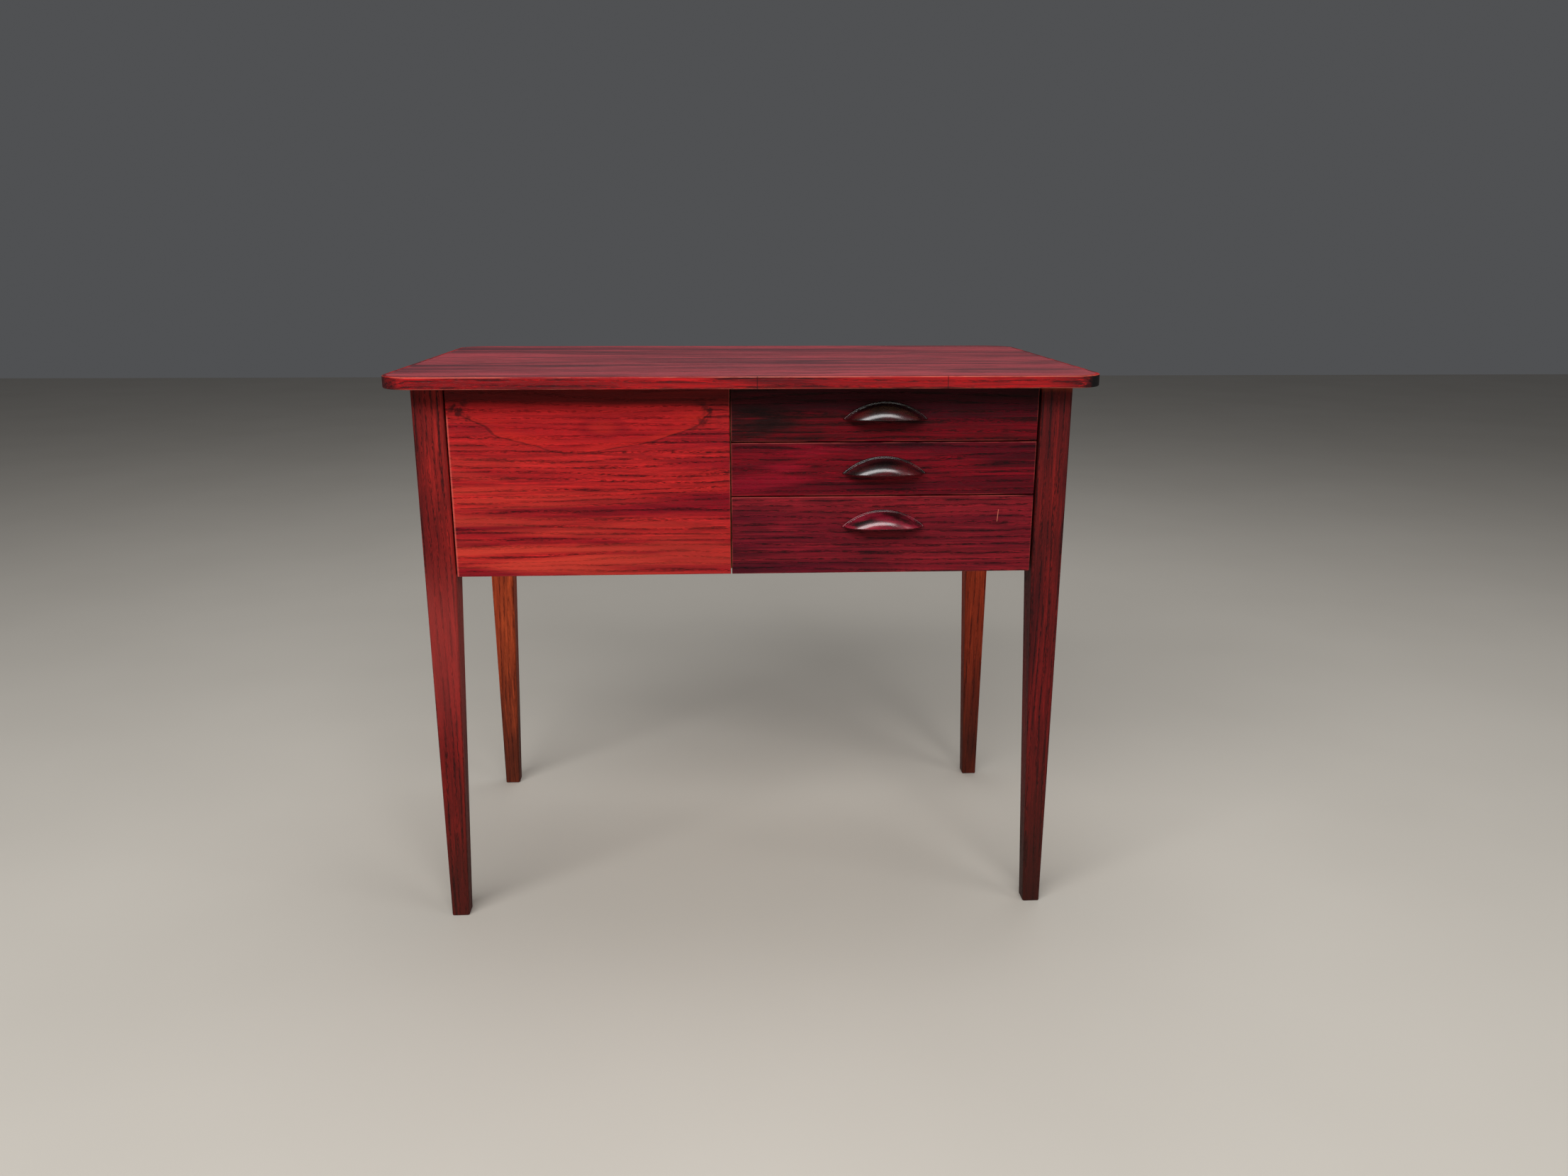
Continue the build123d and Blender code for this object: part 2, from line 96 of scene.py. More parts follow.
class Finish:
    """One material under construction."""

    def __init__(self, name):
        self.material = bpy.data.materials.new(name)
        self.material.use_nodes = True
        self.tree = self.material.node_tree
        self.tree.nodes.clear()
        self.place = self.make("ShaderNodeTexCoord", {}, {}, "Object")
        axes = self.tree.nodes.new("ShaderNodeSeparateXYZ")
        self.tree.links.new(self.place.socket, axes.inputs[0])
        self.x, self.y, self.z = (Value(self, output) for output in axes.outputs)

    def make(self, kind, settings, inputs, output=0):
        node = self.tree.nodes.new(kind)
        for key, value in settings.items():
            setattr(node, key, value)
        for key, value in inputs.items():
            if isinstance(value, Value):
                self.tree.links.new(value.socket, node.inputs[key])
            else:
                node.inputs[key].default_value = value
        return Value(self, node.outputs[output])

    def blend(self, first, second, share):
        return self.make(
            "ShaderNodeMix", {"data_type": "RGBA"}, {0: share, 6: first, 7: second}, 2
        )

    def noise(self, stretch, detail=3.0, offset=0.0, bend=0.0):
        """Cloudy noise with that many patches per metre along X, Y and Z."""
        spot = self.make("ShaderNodeVectorMath", {"operation": "MULTIPLY"}, {0: self.place, 1: stretch})
        shift = {0: spot, 1: (offset, offset * 0.7, offset * 1.3)}
        moved = self.make("ShaderNodeVectorMath", {"operation": "ADD"}, shift)
        inputs = {"Vector": moved, "Scale": 1.0, "Detail": detail, "Distortion": bend}
        return self.make("ShaderNodeTexNoise", {}, inputs)

    def surface(self, colour, rough, height, depth, **fixed):
        bump = {"Height": height, "Distance": depth, "Strength": 1.0}
        normal = self.make("ShaderNodeBump", {}, bump)
        inputs = {"Base Color": colour, "Roughness": rough, "Normal": normal}
        inputs.update({name.replace("_", " "): value for name, value in fixed.items()})
        shader = self.make("ShaderNodeBsdfPrincipled", {}, inputs)
        end = self.tree.nodes.new("ShaderNodeOutputMaterial")
        self.tree.links.new(shader.socket, end.inputs["Surface"])
        return self.material


def tint(red, green, blue):
    """A colour as the eye reads it, 0 to 255, in the renderer's light scale."""
    steps = (channel / 255 for channel in (red, green, blue))
    return (*(s / 12.92 if s <= 0.04045 else ((s + 0.055) / 1.055) ** 2.4 for s in steps), 1.0)


def along(grain, lengthwise, across):
    """Patches per metre for a pattern that is drawn out along the grain."""
    return tuple(lengthwise if axis == grain else across for axis in "XYZ")


BARE_LIGHT, BARE_DARK = tint(190, 146, 96), tint(140, 96, 58)


def bare_wood(finish, grain, offset):
    """Colour of wood that was never stained."""
    figure = finish.noise(along(grain, 5, 110), 4, offset, 0.4)
    fleck = finish.noise(along(grain, 160, 900), 2, offset)
    colour = finish.blend(BARE_LIGHT, BARE_DARK, figure.rise(0.35, 0.72))
    return finish.blend(colour, BARE_DARK, fleck.rise(0.58, 0.74) * 0.5)


def stained_wood(finish, grain, bright, middle, dark, offset, pores=0.8, smudges=0.5):
    """Colour, roughness and height of open-pored wood under red stain and satin lacquer."""
    streaks = finish.noise(along(grain, 2.6, 34), 5, offset, 0.5)
    bands = finish.noise(along(grain, 1.4, 11), 2, offset + 7, 0.3)
    fibre = finish.noise(along(grain, 22, 400), 3, offset)
    pore = finish.noise(along(grain, 170, 1900), 2, offset + 3)
    cloud = finish.noise(along(grain, 4.5, 15), 4, offset + 11, 0.8)
    sides = {"X": (finish.y, finish.z), "Y": (finish.x, finish.z), "Z": (finish.x, finish.y)}
    first, second = sides[grain]
    rings = ((first + second) * 900 + 26 * streaks + 9 * bands).wave().rise(0.1, 1.0)
    pore_mask = pore.rise(0.50, 0.60) * (0.30 + 0.70 * rings)
    colour = finish.blend(middle, bright, (streaks * 0.6 + bands * 0.5).rise(0.43, 0.63))
    colour = finish.blend(colour, dark, fibre.rise(0.45, 0.57) * (0.30 + 0.44 * rings))
    colour = finish.blend(colour, dark, cloud.rise(0.50, 0.72) * smudges)
    glint = finish.noise(along(grain, 15, 560), 3, offset + 17).rise(0.52, 0.66)
    lighter = (*(min(1.0, 1.7 * channel) for channel in bright[:3]), 1.0)
    colour = finish.blend(colour, lighter, glint * streaks.rise(0.36, 0.6) * 0.5)
    colour = finish.blend(colour, tint(20, 4, 5), pore_mask * pores)
    rough = 0.38 + 0.14 * streaks + 0.2 * pore_mask
    return colour, rough, fibre * 0.35 - pore_mask


def paint(node, material):
    """Give a piece of the frame its finish."""
    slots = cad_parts[node].data.materials
    slots.clear()
    slots.append(material)


PORE_DEPTH = 0.00022
top_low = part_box("top_panel")[0]
finish = Finish("top veneer")
colour, rough, height = stained_wood(
    finish, "X", tint(174, 56, 66), tint(102, 20, 36), tint(40, 6, 14), 2.0, 0.6, 0.65
)
polish = finish.noise((2.2, 42, 42), 4, 15, 0.4)
rough = 0.20 + 0.30 * polish.rise(0.38, 0.64) + 0.2 * rough
underside = finish.z.rise(top_low.z + 0.0004, top_low.z + 0.0002)
colour = finish.blend(colour, bare_wood(finish, "X", 4.0), underside)
rough = rough + 0.3 * underside
paint("top_panel", finish.surface(
    colour, rough, height, PORE_DEPTH, Coat_Weight=0.2, Coat_Roughness=0.3, Specular_IOR_Level=0.45
))

# ---- Lipping ----
# Solid strips glued round the panel in lengths, with a curved piece at each corner. The pale line along
# both arrises is partly wear through to paler wood, with small chips, and partly a painted highlight;
# the butt joints show as fine lines.
BUTT_JOINTS = (0.010, 0.194)
low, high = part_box("top_lipping")
finish = Finish("top lipping")
colour, rough, height = stained_wood(
    finish, "X", tint(174, 13, 16), tint(94, 2, 13), tint(36, 2, 7), 9.0, 0.6, 0.8
)
# Painted shade: the curved corner pieces are darkened nearly to black, more on the right of the table,
# and made rougher.
corner_shade = (finish.x.size() / high.x).rise(0.925, 0.965)
corner_shade = corner_shade * (finish.y.size() / high.y).rise(0.78, 0.92)
corner_shade = corner_shade * (finish.z - high.z).rise(-0.0004, -0.0012)
side = finish.x.rise(-0.1, 0.1) * 0.38 + 0.62
colour = finish.blend(colour, tint(8, 3, 5), corner_shade * side)
rough = rough + 0.45 * corner_shade
patchy = finish.noise((22, 22, 22), 3, 5)
# Pale line along the upper and lower arris: partly wear, partly a painted highlight.
for arris, reach in ((high.z - 0.0005, 0.00045), (low.z + 0.0005, 0.0003)):
    rubbed = (finish.z - arris).size().rise(reach, reach * 0.4)
    worn = rubbed * patchy.rise(0.36, 0.58) * (1 - corner_shade)
    colour = finish.blend(colour, tint(206, 104, 84), worn * 0.75)
chip = finish.noise((190, 190, 120), 1, 8).rise(0.74, 0.79)
chip = chip * (finish.z - high.z).rise(-0.004, -0.0008)
colour = finish.blend(colour, tint(214, 150, 110), chip)
joints = 0.0
for place in BUTT_JOINTS:
    joints = (finish.x - place).size().rise(0.0006, 0.0002) + joints
colour = finish.blend(colour, tint(30, 8, 10), joints * 0.7)
paint("top_lipping", finish.surface(
    colour, rough, height - joints, PORE_DEPTH,
    Coat_Weight=0.06, Coat_Roughness=0.25, Specular_IOR_Level=0.22
))

# ---- Legs ----
# Solid square legs, planed to a taper on their two inner faces. The grain runs upright, the
# stain goes nearly black at the feet, and the back pair took less of the red.
LEG_LOOKS = {
    "leg_front_left": (tint(146, 26, 21), tint(102, 12, 12), tint(42, 6, 8), 1.0),
    "leg_front_right": (tint(108, 16, 14), tint(66, 5, 8), tint(28, 3, 5), 14.0),
    "leg_back_left": (tint(194, 78, 38), tint(154, 52, 26), tint(98, 30, 16), 27.0),
    "leg_back_right": (tint(164, 56, 26), tint(126, 34, 14), tint(74, 18, 9), 41.0),
}
for node, (bright, middle, dark, offset) in LEG_LOOKS.items():
    low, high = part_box(node)
    finish = Finish(node.replace("_", " "))
    pores = 0.35 if "back" in node else 0.8
    colour, rough, height = stained_wood(finish, "Z", bright, middle, dark, offset, pores, 0.4)
    rough = rough + 0.14
    ragged = finish.noise((60, 60, 9), 3, offset)
    foot = (finish.z + 0.12 * ragged).rise(0.32, 0.08)
    colour = finish.blend(colour, tint(46, 17, 9), foot * 0.8)
    if node == "leg_front_left":
        # Painted reflection: a pinkish sheen on the front left leg just below the case.
        painted_sheen = finish.z.rise(0.42, 0.34) * finish.z.rise(0.18, 0.28)
        colour = finish.blend(colour, tint(176, 64, 58), painted_sheen * (0.55 - 0.4 * ragged))
    if node == "leg_front_right":
        rubbed = (finish.z + 0.014 * ragged).rise(high.z - 0.002, high.z + 0.004)
        colour = finish.blend(colour, tint(150, 60, 32), rubbed * 0.5)
    paint(node, finish.surface(colour, rough, height, PORE_DEPTH, Specular_IOR_Level=0.18))

# ---- Side panels, back panel and partition ----
# Veneered boards dowelled between the legs. Only the faces that show were stained: inside,
# where the drawers run, and on the partition, the wood is bare.
for node, axis, outward in (
    ("side_panel_left", "x", -1), ("side_panel_right", "x", 1), ("back_panel", "y", 1),
):
    low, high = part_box(node)
    finish = Finish(node.replace("_", " "))
    grain = "Y" if axis == "x" else "X"
    colour, rough, height = stained_wood(
        finish, grain, tint(150, 34, 36), tint(104, 20, 26), tint(52, 12, 18),
        60.0 + low.x * 9, 0.7, 0.5
    )
    inner = getattr(high if outward < 0 else low, axis)
    depth = (getattr(finish, axis) - inner) * outward
    inside = depth.rise(0.0008, 0.0003)
    colour = finish.blend(colour, bare_wood(finish, grain, 66.0), inside)
    paint(node, finish.surface(
        colour, rough + 0.3 * inside, height, PORE_DEPTH, Specular_IOR_Level=0.18
    ))

# ---- Rails, cleats, dowels and drawer boxes ----
# The hidden work is in plain pale wood: rails and cleats as sawn, runners waxed, drawer sides
# and dividers planed smooth, and bottoms in thin plywood.
PALE_WORK = {
    "X": ("front_bottom_rails", "front_top_rails", "rail_dowels", "back_panel_dowels"),
    "Y": ("partition", "top_cleats", "side_panel_dowels"),
}
DRAWERS = ("top_drawer", "middle_drawer", "bottom_drawer", "yarn_drawer")
for drawer in DRAWERS:
    PALE_WORK["X"] += (f"{drawer}_back", f"{drawer}_bottom")
    PALE_WORK["Y"] += (f"{drawer}_side_left", f"{drawer}_side_right", f"{drawer}_runners")
PALE_WORK["Y"] += ("top_drawer_dividers",)
for grain, nodes in PALE_WORK.items():
    for number, node in enumerate(nodes):
        finish = Finish(node.replace("_", " "))
        offset = 80.0 + 5 * number
        colour = bare_wood(finish, grain, offset)
        if "runners" in node or "rails" in node:
            colour = finish.blend(colour, tint(150, 100, 58), 0.35)
        dust = finish.noise((14, 14, 14), 4, offset)
        colour = finish.blend(colour, tint(104, 70, 44), dust.rise(0.52, 0.8) * 0.5)
        fibre = finish.noise(along(grain, 20, 600), 2, offset)
        paint(node, finish.surface(colour, 0.5 + 0.16 * dust, fibre, 0.0001))

# ---- Drawer fronts ----
# Veneered fronts, flush with the legs. The face is stained and the back is bare. The arrises are
# rubbed pale, and the deep front shows the broad arched figure of a plain-sawn sheet.
ARCH_X, ARCH_DROP, ARCH_HALF_X, ARCH_HALF_Z = 0.49, 0.13, 0.46, 0.205
EYE_X, EYE_DROP, EYE_HALF_X, EYE_HALF_Z = 0.545, 0.20, 0.020, 0.0105
SCRATCH_X, SCRATCH_Z, SCRATCH_LEAN = 0.2557, 0.442, 0.08
FRONT_LOOKS = {
    "yarn_drawer": (tint(174, 30, 30), tint(128, 6, 25), tint(66, 3, 13), 3.0, 0.25),
    "top_drawer": (tint(94, 0, 13), tint(54, 0, 12), tint(22, 5, 5), 19.0, 0.95),
    "middle_drawer": (tint(112, 3, 19), tint(64, 0, 16), tint(28, 2, 8), 33.0, 0.75),
    "bottom_drawer": (tint(122, 20, 30), tint(84, 4, 24), tint(38, 3, 12), 52.0, 0.55),
}


def streak_share(finish, offset):
    """Long soft streaks with the grain, from 0 to 1."""
    return finish.noise((4, 30, 90), 4, offset, 0.4).rise(0.40, 0.62)


for drawer, (bright, middle, dark, offset, smudges) in FRONT_LOOKS.items():
    node = f"{drawer}_front"
    low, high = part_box(node)
    middle_x, middle_z = (low.x + high.x) / 2, (low.z + high.z) / 2
    finish = Finish(node.replace("_", " "))
    colour, rough, height = stained_wood(finish, "X", bright, middle, dark, offset, 0.8, smudges)
    if drawer == "yarn_drawer":
        width, tall = high.x - low.x, high.z - low.z
        lower = (finish.z - high.z + 0.3 * (finish.x - high.x)).rise(-0.10, -0.24)
        colour = finish.blend(colour, tint(204, 62, 46), lower * streak_share(finish, 75) * 0.7)
        wobble = finish.noise((9, 9, 34), 4, 71)
        crumble = finish.noise((160, 160, 160), 3, 73)
        arch_x = (finish.x - (low.x + ARCH_X * width)) / (ARCH_HALF_X * width)
        arch_z = (finish.z - (high.z - ARCH_DROP * tall)) / (ARCH_HALF_Z * tall)
        oval = (arch_x * arch_x + arch_z * arch_z).root()
        reach = 0.68 * oval + 0.32 * (arch_x.size() + arch_z.size())
        reach = reach + 0.42 * (wobble - 0.5)
        colour = finish.blend(colour, tint(166, 16, 24), reach.rise(1.02, 0.9) * 0.35)
        glow = reach.rise(0.55, 0.95) * reach.rise(1.0, 0.98) * wobble.rise(0.34, 0.58)
        colour = finish.blend(colour, tint(190, 38, 26), glow * streak_share(finish, 77) * 0.55)
        rough_end = arch_x.size().rise(0.72, 0.98) * crumble.rise(0.40, 0.62)
        line = (reach - 1.0).size().rise(0.022, 0.008)
        line = line * (0.30 + 0.35 * wobble + 0.35 * rough_end)
        line = line * arch_z.rise(0.35, 0.05)
        knots = (reach - 1.0).size().rise(0.085, 0.03) * rough_end
        colour = finish.blend(colour, tint(52, 10, 12), line.larger(knots * 0.85))
        eye_x = (finish.x - (low.x + EYE_X * width)) / EYE_HALF_X
        eye_z = (finish.z - (high.z - EYE_DROP * tall)) / EYE_HALF_Z
        eye = (eye_x * eye_x + eye_z * eye_z).root() + 1.6 * (wobble - 0.5)
        colour = finish.blend(colour, tint(122, 8, 20), eye.rise(1.3, 0.85) * 0.45)
        colour = finish.blend(colour, tint(190, 40, 28), eye.rise(0.8, 0.1) * 0.3)
        # Painted shadow: the top strip of the deep front is darkened where the table top shades it.
        top_shadow = (finish.z + 0.012 * (wobble - 0.5)).rise(high.z - 0.019, high.z - 0.012)
        colour = finish.blend(colour, tint(70, 12, 12), top_shadow * 0.82)
        strip = (finish.x - low.x).rise(0.0022, 0.0010)
        strip = strip * finish.z.rise(high.z - 0.024, high.z - 0.030)
        colour = finish.blend(colour, tint(206, 88, 76), strip * 0.7)
    if drawer == "middle_drawer":
        flame_x = (finish.x - low.x - 0.050 - 1.6 * (finish.z - middle_z)) / 0.034
        flame_z = (finish.z - middle_z) / 0.022
        flame = (flame_x * flame_x + flame_z * flame_z).root()
        flame = flame + 1.2 * (streak_share(finish, 37) - 0.5)
        colour = finish.blend(colour, tint(152, 10, 36), flame.rise(1.2, 0.4) * 0.45)
    if drawer == "bottom_drawer":
        climb = finish.z - SCRATCH_Z
        lean = finish.x - SCRATCH_X - SCRATCH_LEAN * climb
        scratch = lean.size().rise(0.0004, 0.0002) * climb.size().rise(0.0068, 0.0058)
        colour = finish.blend(colour, tint(214, 120, 96), scratch * 0.75)
    patchy = finish.noise((26, 26, 26), 3, offset)
    edge_x = (finish.x - middle_x).size() - (high.x - middle_x)
    edge_z = (finish.z - middle_z).size() - (high.z - middle_z)
    worn = edge_x.larger(edge_z).rise(-0.0012, -0.0003) * patchy.rise(0.40, 0.6)
    colour = finish.blend(colour, tint(176, 76, 68), worn * 0.42)
    behind = finish.y.rise(low.y + 0.004, low.y + 0.006)
    colour = finish.blend(colour, bare_wood(finish, "X", offset), behind)
    paint(node, finish.surface(
        colour, rough + 0.3 * behind, height, PORE_DEPTH, Specular_IOR_Level=0.12
    ))

# ---- Cup pulls ----
# Each is a segment of a turned disc: a fine bead round the edge, a shallow cove, and a full
# bulge down to the lip, hollowed behind for the fingers. Dark red stain under gloss lacquer.
COLUMNS = 72
FACE_STEPS = 30
HOLLOW_STEPS = 12
WALL = 0.0038
BEAD, BEAD_STAND = 0.0019, 0.0017
COVE_STAND = 0.0006
LIP_ROUNDING = 0.0008
SCOOP_REACH = 0.0245
MERGE = 0.00002
# Per pull: base colour and share of painted shade above the bulge. The base runs from near black on the
# top pull, as painted shade, to red on the bottom pull, as painted reflection.
PULL_LOOKS = {
    "top_drawer": (tint(62, 8, 14), 0.95),
    "middle_drawer": (tint(84, 10, 18), 0.80),
    "bottom_drawer": (tint(140, 20, 44), 0.35),
}


def pull_finish(name, low, offset, bright, black):
    """Stain under lacquer, with painted shade darkening the upper part above the bulge."""
    finish = Finish(name)
    cloud = finish.noise((34, 120, 120), 3, offset)
    speck = finish.noise((420, 900, 900), 2, offset + 1)
    colour = finish.blend(bright, tint(24, 4, 7), cloud.rise(0.34, 0.66))
    colour = finish.blend(colour, tint(18, 6, 8), speck.rise(0.56, 0.7) * 0.6)
    # Painted shade: the upper part of each pull goes nearly black, by the share given for that pull.
    upper_shade = (finish.z + 0.002 * cloud).rise(low.z + 0.0075, low.z + 0.0120)
    colour = finish.blend(colour, tint(9, 3, 4), upper_shade * black)
    rough = 0.19 + 0.16 * speck
    return finish.surface(colour, rough, speck, 0.00004, Coat_Weight=0.55, Coat_Roughness=0.14)


def pull_loop(angle, radius, drop, stand):
    """Closed section of a pull at one angle of the disc, as points of x, height, stand-off."""
    start = drop / math.cos(angle)
    foot = drop * math.tan(angle)

    def bulge(distance):
        """How far the face stands off the front, at that distance in from the rim."""
        if distance < BEAD:
            return BEAD_STAND * math.sqrt(max(0.0, 1 - (1 - 2 * distance / BEAD) ** 2))
        share = min(1.0, (distance - BEAD) / (radius - drop - BEAD)) ** 1.12
        return COVE_STAND + (stand - COVE_STAND) * math.sqrt(1 - (1 - share) ** 2)

    loop = []
    for step in range(FACE_STEPS + 1):
        reach = radius - (radius - start) * (1 - math.cos(math.pi * step / FACE_STEPS)) / 2
        along_x, along_z = reach * math.sin(angle), reach * math.cos(angle) - drop
        loop.append((along_x, along_z, bulge(radius - reach)))
    lip = bulge(radius - start)
    fade = math.sqrt(max(0.0, 1 - (foot / SCOOP_REACH) ** 2))
    hollow = max(0.0, lip - WALL) * fade
    rounding = min(LIP_ROUNDING, lip / 3)
    loop[-1] = (foot, rounding, lip)
    loop += [(foot, rounding * 0.3, lip - rounding * 0.3), (foot, 0.0, lip - rounding)]
    roof = min(0.62 * (radius * math.cos(angle) - drop), 0.9 * hollow) * fade
    for step in range(HOLLOW_STEPS + 1):
        turn = math.pi / 2 * step / HOLLOW_STEPS
        loop.append((foot, roof * math.sin(turn), hollow * math.cos(turn)))
    return loop


for number, drawer in enumerate(DRAWERS[:3]):
    low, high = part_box(f"{drawer}_pull")
    half, rise, stand = (high.x - low.x) / 2, high.z - low.z, high.y - low.y
    radius = (half**2 + rise**2) / (2 * rise)
    drop = radius - rise
    widest = math.acos(drop / radius)
    shape = bmesh.new()
    rings = []
    for column in range(COLUMNS + 1):
        angle = widest * math.sin(math.pi / 2 * (2 * column / COLUMNS - 1)) * 0.99999
        rings.append([
            shape.verts.new(((low.x + high.x) / 2 + x, high.y - out, low.z + up))
            for x, up, out in pull_loop(angle, radius, drop, stand)
        ])
    for first, second in zip(rings, rings[1:]):
        for index in range(len(first)):
            after = (index + 1) % len(first)
            shape.faces.new((first[index], first[after], second[after], second[index]))
    bmesh.ops.remove_doubles(shape, verts=shape.verts, dist=MERGE)
    bmesh.ops.dissolve_degenerate(shape, edges=shape.edges, dist=MERGE / 2)
    bmesh.ops.holes_fill(shape, edges=[edge for edge in shape.edges if edge.is_boundary])
    bmesh.ops.recalc_face_normals(shape, faces=shape.faces)
    mesh = bpy.data.meshes.new(f"{drawer}_cup_pull")
    shape.to_mesh(mesh)
    shape.free()
    mesh.shade_smooth()
    look = PULL_LOOKS[drawer]
    mesh.materials.append(pull_finish(f"{drawer} pull", low, 30 + 9 * number, *look))
    pull = bpy.data.objects.new(f"{drawer}_cup_pull", mesh)
    bpy.context.scene.collection.objects.link(pull)
    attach(pull, drawer)
    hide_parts(f"{drawer}_pull")

# ---- Screws ----
# Slotted countersunk wood screws, plain steel gone dull. They hold the runners, the cleats, the
# table top, the partition and the pulls.
finish = Finish("screw steel")
tarnish = finish.noise((300, 300, 300), 4, 12)
colour = finish.blend(tint(150, 146, 138), tint(92, 80, 66), tarnish.rise(0.42, 0.68))
screw_finish = finish.surface(colour, 0.3 + 0.3 * tarnish, tarnish, 0.00008, Metallic=1.0)
SCREW_SIZES = {
    "Head Radius": 0.0032, "Head Height": 0.0019, "Shank Radius": 0.0016,
    "Slot Width": 0.0008, "Slot Depth": 0.0009,
}
SAME_SCREW_ACROSS, SAME_SCREW_ALONG = 0.008, 0.035
SCREW_SIDES = 24
SLOT_LENGTH = 0.02


def screw_seats(node, axis):
    """Head centre, driving direction and length of each screw in a CAD node."""
    others = [number for number in range(3) if number != axis]
    groups = []
    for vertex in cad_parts[node].data.vertices:
        spot = vertex.co
        for group in groups:
            sideways = math.dist([spot[n] for n in others], [group[0][n] for n in others])
            if (sideways < SAME_SCREW_ACROSS
                    and abs(spot[axis] - group[0][axis]) < SAME_SCREW_ALONG):
                group.append(spot)
                break
        else:
            groups.append([spot])
    seats = []
    for group in groups:
        spans = [(min(p[n] for p in group), max(p[n] for p in group)) for n in range(3)]
        low, high = spans[axis]
        centre = Vector([sum(span) / 2 for span in spans])
        widest = max(group, key=lambda p: sum((p[n] - centre[n]) ** 2 for n in others))
        sign = 1 if widest[axis] - low < high - widest[axis] else -1
        centre[axis] = low if sign > 0 else high
        drive = Vector()
        drive[axis] = sign
        seats.append((centre, drive, high - low))
    return seats


def screw_tree():
    """Puts one slotted screw on each point, along the point's drive, turned by chance."""
    tree = bpy.data.node_groups.new("wood screws", "GeometryNodeTree")
    face = tree.interface
    face.new_socket("Geometry", in_out="INPUT", socket_type="NodeSocketGeometry")
    for name, size in (*SCREW_SIZES.items(), ("Length", 0.02)):
        face.new_socket(name, in_out="INPUT", socket_type="NodeSocketFloat").default_value = size
    face.new_socket("Material", in_out="INPUT", socket_type="NodeSocketMaterial")
    face.new_socket("Geometry", in_out="OUTPUT", socket_type="NodeSocketGeometry")

    def add(kind, settings=(), **inputs):
        node = tree.nodes.new(kind)
        for key, value in dict(settings).items():
            setattr(node, key, value)
        for key, value in inputs.items():
            socket = node.inputs[key.replace("_", " ")]
            if isinstance(value, bpy.types.NodeSocket):
                tree.links.new(value, socket)
            else:
                socket.default_value = value
        return node

    given = add("NodeGroupInput").outputs
    head = add("GeometryNodeMeshCone", Vertices=SCREW_SIDES, Radius_Bottom=given["Head Radius"],
               Radius_Top=given["Shank Radius"], Depth=given["Head Height"])
    slot_size = add("ShaderNodeCombineXYZ", X=SLOT_LENGTH, Y=given["Slot Width"], Z=given["Slot Depth"])
    doubled = add("ShaderNodeVectorMath", {"operation": "MULTIPLY"})
    doubled.inputs[1].default_value = (1, 1, 2)
    tree.links.new(slot_size.outputs[0], doubled.inputs[0])
    slot = add("GeometryNodeMeshCube", Size=doubled.outputs[0])
    slotted = add("GeometryNodeMeshBoolean", {"operation": "DIFFERENCE"})
    tree.links.new(head.outputs["Mesh"], slotted.inputs["Mesh 1"])
    tree.links.new(slot.outputs["Mesh"], slotted.inputs["Mesh 2"])
    shank_length = add("ShaderNodeMath", {"operation": "SUBTRACT"})
    tree.links.new(given["Length"], shank_length.inputs[0])
    tree.links.new(given["Head Height"], shank_length.inputs[1])
    shank = add("GeometryNodeMeshCone", Vertices=SCREW_SIDES, Radius_Bottom=given["Shank Radius"],
                Radius_Top=given["Shank Radius"], Depth=shank_length.outputs[0])
    lift = add("ShaderNodeCombineXYZ", Z=given["Head Height"])
    raised = add("GeometryNodeTransform", Geometry=shank.outputs["Mesh"], Translation=lift.outputs[0])
    joined = add("GeometryNodeMeshBoolean", {"operation": "UNION"})
    tree.links.new(slotted.outputs["Mesh"], joined.inputs["Mesh 2"])
    tree.links.new(raised.outputs[0], joined.inputs["Mesh 2"])
    drive = add("GeometryNodeInputNamedAttribute", {"data_type": "FLOAT_VECTOR"}, Name="drive")
    aim = add("FunctionNodeAlignRotationToVector", {"axis": "Z"}, Vector=drive.outputs[0])
    placed = add("GeometryNodeInstanceOnPoints", Points=given["Geometry"],
                 Instance=joined.outputs[0], Rotation=aim.outputs[0])
    chance = add("FunctionNodeRandomValue", {"data_type": "FLOAT_VECTOR"}, Seed=7)
    chance.inputs[0].default_value, chance.inputs[1].default_value = (0, 0, 0), (0, 0, math.tau)
    turned = add("GeometryNodeRotateInstances", Instances=placed.outputs[0],
                 Rotation=chance.outputs[0])
    real = add("GeometryNodeRealizeInstances", Geometry=turned.outputs[0])
    painted = add("GeometryNodeSetMaterial", Geometry=real.outputs[0], Material=given["Material"])
    add("NodeGroupOutput", Geometry=painted.outputs[0])
    return tree


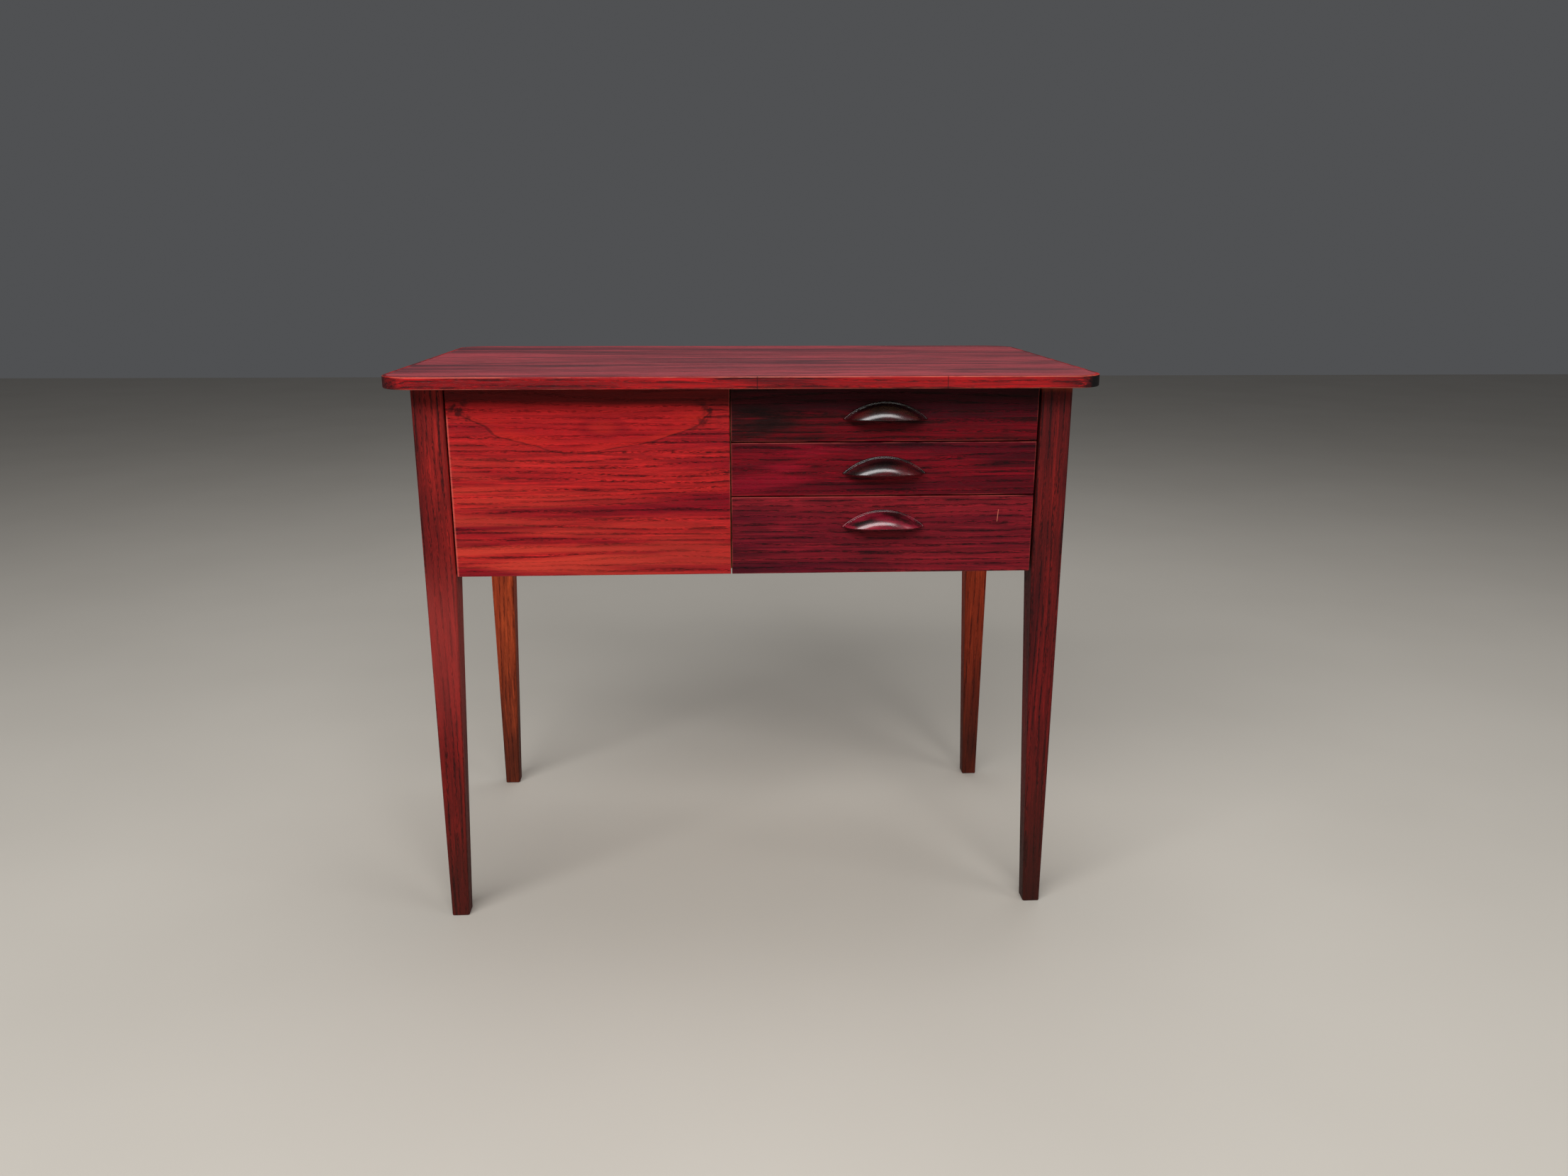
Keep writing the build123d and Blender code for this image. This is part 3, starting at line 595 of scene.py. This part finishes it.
tree = screw_tree()
SCREW_GROUPS = [
    ("frame", "runner_screws", 0), ("frame", "cleat_screws", 0),
    ("frame", "partition_screws", 1), ("frame", "top_screws", 2),
] + [(drawer, f"{drawer}_pull_screws", 1) for drawer in DRAWERS[:3]]
for body in ("frame", *DRAWERS[:3]):
    meshes = []
    nodes = [(node, axis) for owner, node, axis in SCREW_GROUPS if owner == body]
    seats = [seat for node, axis in nodes for seat in screw_seats(node, axis)]
    for length in sorted({round(seat[2], 4) for seat in seats}):
        same = [seat for seat in seats if round(seat[2], 4) == length]
        points = bpy.data.meshes.new("seats")
        points.from_pydata([seat[0] for seat in same], [], [])
        drive = points.attributes.new("drive", "FLOAT_VECTOR", "POINT")
        drive.data.foreach_set("vector", [part for seat in same for part in seat[1]])
        holder = bpy.data.objects.new("seats", points)
        bpy.context.scene.collection.objects.link(holder)
        modifier = holder.modifiers.new("screws", "NODES")
        modifier.node_group = tree
        values = {**SCREW_SIZES, "Length": length, "Material": screw_finish}
        for item in tree.interface.items_tree:
            if item.in_out == "INPUT" and item.name in values:
                modifier[item.identifier] = values[item.name]
        view = bpy.context.evaluated_depsgraph_get()
        meshes.append(bpy.data.meshes.new_from_object(holder.evaluated_get(view)))
        holder.modifiers.remove(modifier)
        bpy.data.objects.remove(holder)
    shape = bmesh.new()
    for mesh in meshes:
        shape.from_mesh(mesh)
    mesh = bpy.data.meshes.new(f"{body}_wood_screws")
    shape.to_mesh(mesh)
    shape.free()
    mesh.materials.append(screw_finish)
    screws = bpy.data.objects.new(f"{body}_wood_screws", mesh)
    bpy.context.scene.collection.objects.link(screws)
    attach(screws, body)
    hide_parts(*(node for node, axis in nodes))

# ---- Floor and light ----
# A plain pale floor, one broad soft light from the front left, and weaker ones above and right.
# The room itself gives only a little light, so that dark stain stays dark.
FLOOR_REACH = 6.0
mesh = bpy.data.meshes.new("floor")
corners = [(x * FLOOR_REACH, y * FLOOR_REACH, 0) for x, y in ((-1, -1), (1, -1), (1, 1), (-1, 1))]
mesh.from_pydata(corners, [], [(0, 1, 2, 3)])
finish = Finish("floor")
faint = finish.noise((3, 3, 3), 2, 1)
mesh.materials.append(finish.surface(
    finish.blend(tint(206, 200, 190), tint(196, 190, 180), faint), 0.6 + 0.1 * faint, faint, 0.0001
))
floor = bpy.data.objects.new("floor", mesh)
bpy.context.scene.collection.objects.link(floor)


def soft_light(name, place, width, depth, power):
    """A lit panel, aimed at the middle of the table."""
    lamp = bpy.data.lights.new(name, "AREA")
    lamp.shape, lamp.size, lamp.size_y, lamp.energy = "RECTANGLE", width, depth, power
    light = bpy.data.objects.new(name, lamp)
    light.location = place
    light.rotation_euler = (Vector((0, 0, 0.4)) - Vector(place)).to_track_quat("-Z", "Y").to_euler()
    bpy.context.scene.collection.objects.link(light)


soft_light("key light", (-0.6, -2.2, 2.3), width=3.6, depth=1.0, power=92)
soft_light("top light", (0.2, 0.5, 2.6), width=1.6, depth=1.6, power=20)
soft_light("side light", (2.2, -1.6, 1.6), width=1.2, depth=1.4, power=12)
world = bpy.data.worlds.new("room")
world.use_nodes = True
background = world.node_tree.nodes["Background"]
background.inputs["Color"].default_value = (0.80, 0.82, 0.86, 1)
background.inputs["Strength"].default_value = 0.10
bpy.context.scene.world = world
bpy.context.scene.view_settings.view_transform = "Standard"

# ---- Camera ----
# Eye height of someone crouching in front of the table, a little left of its middle, and
# looking slightly down on the top.
EYE_PLACE = (-0.02562, -1.34743, 0.69315)
LENS_MM, SENSOR_MM = 27.125, 36.0
yaw, pitch, roll = 0.05405, -0.27125, 0.00252
forward = Vector((math.sin(yaw) * math.cos(pitch), math.cos(yaw) * math.cos(pitch), math.sin(pitch)))
right = Vector((math.cos(yaw), -math.sin(yaw), 0))
up = right.cross(forward)
across = math.cos(roll) * right + math.sin(roll) * up
upward = math.cos(roll) * up - math.sin(roll) * right
lens = bpy.data.cameras.new("camera")
lens.sensor_width, lens.lens = SENSOR_MM, LENS_MM
camera = bpy.data.objects.new("camera", lens)
turn = Matrix((across, upward, -forward)).transposed().to_4x4()
camera.matrix_world = Matrix.Translation(EYE_PLACE) @ turn
bpy.context.scene.collection.objects.link(camera)
bpy.context.scene.camera = camera
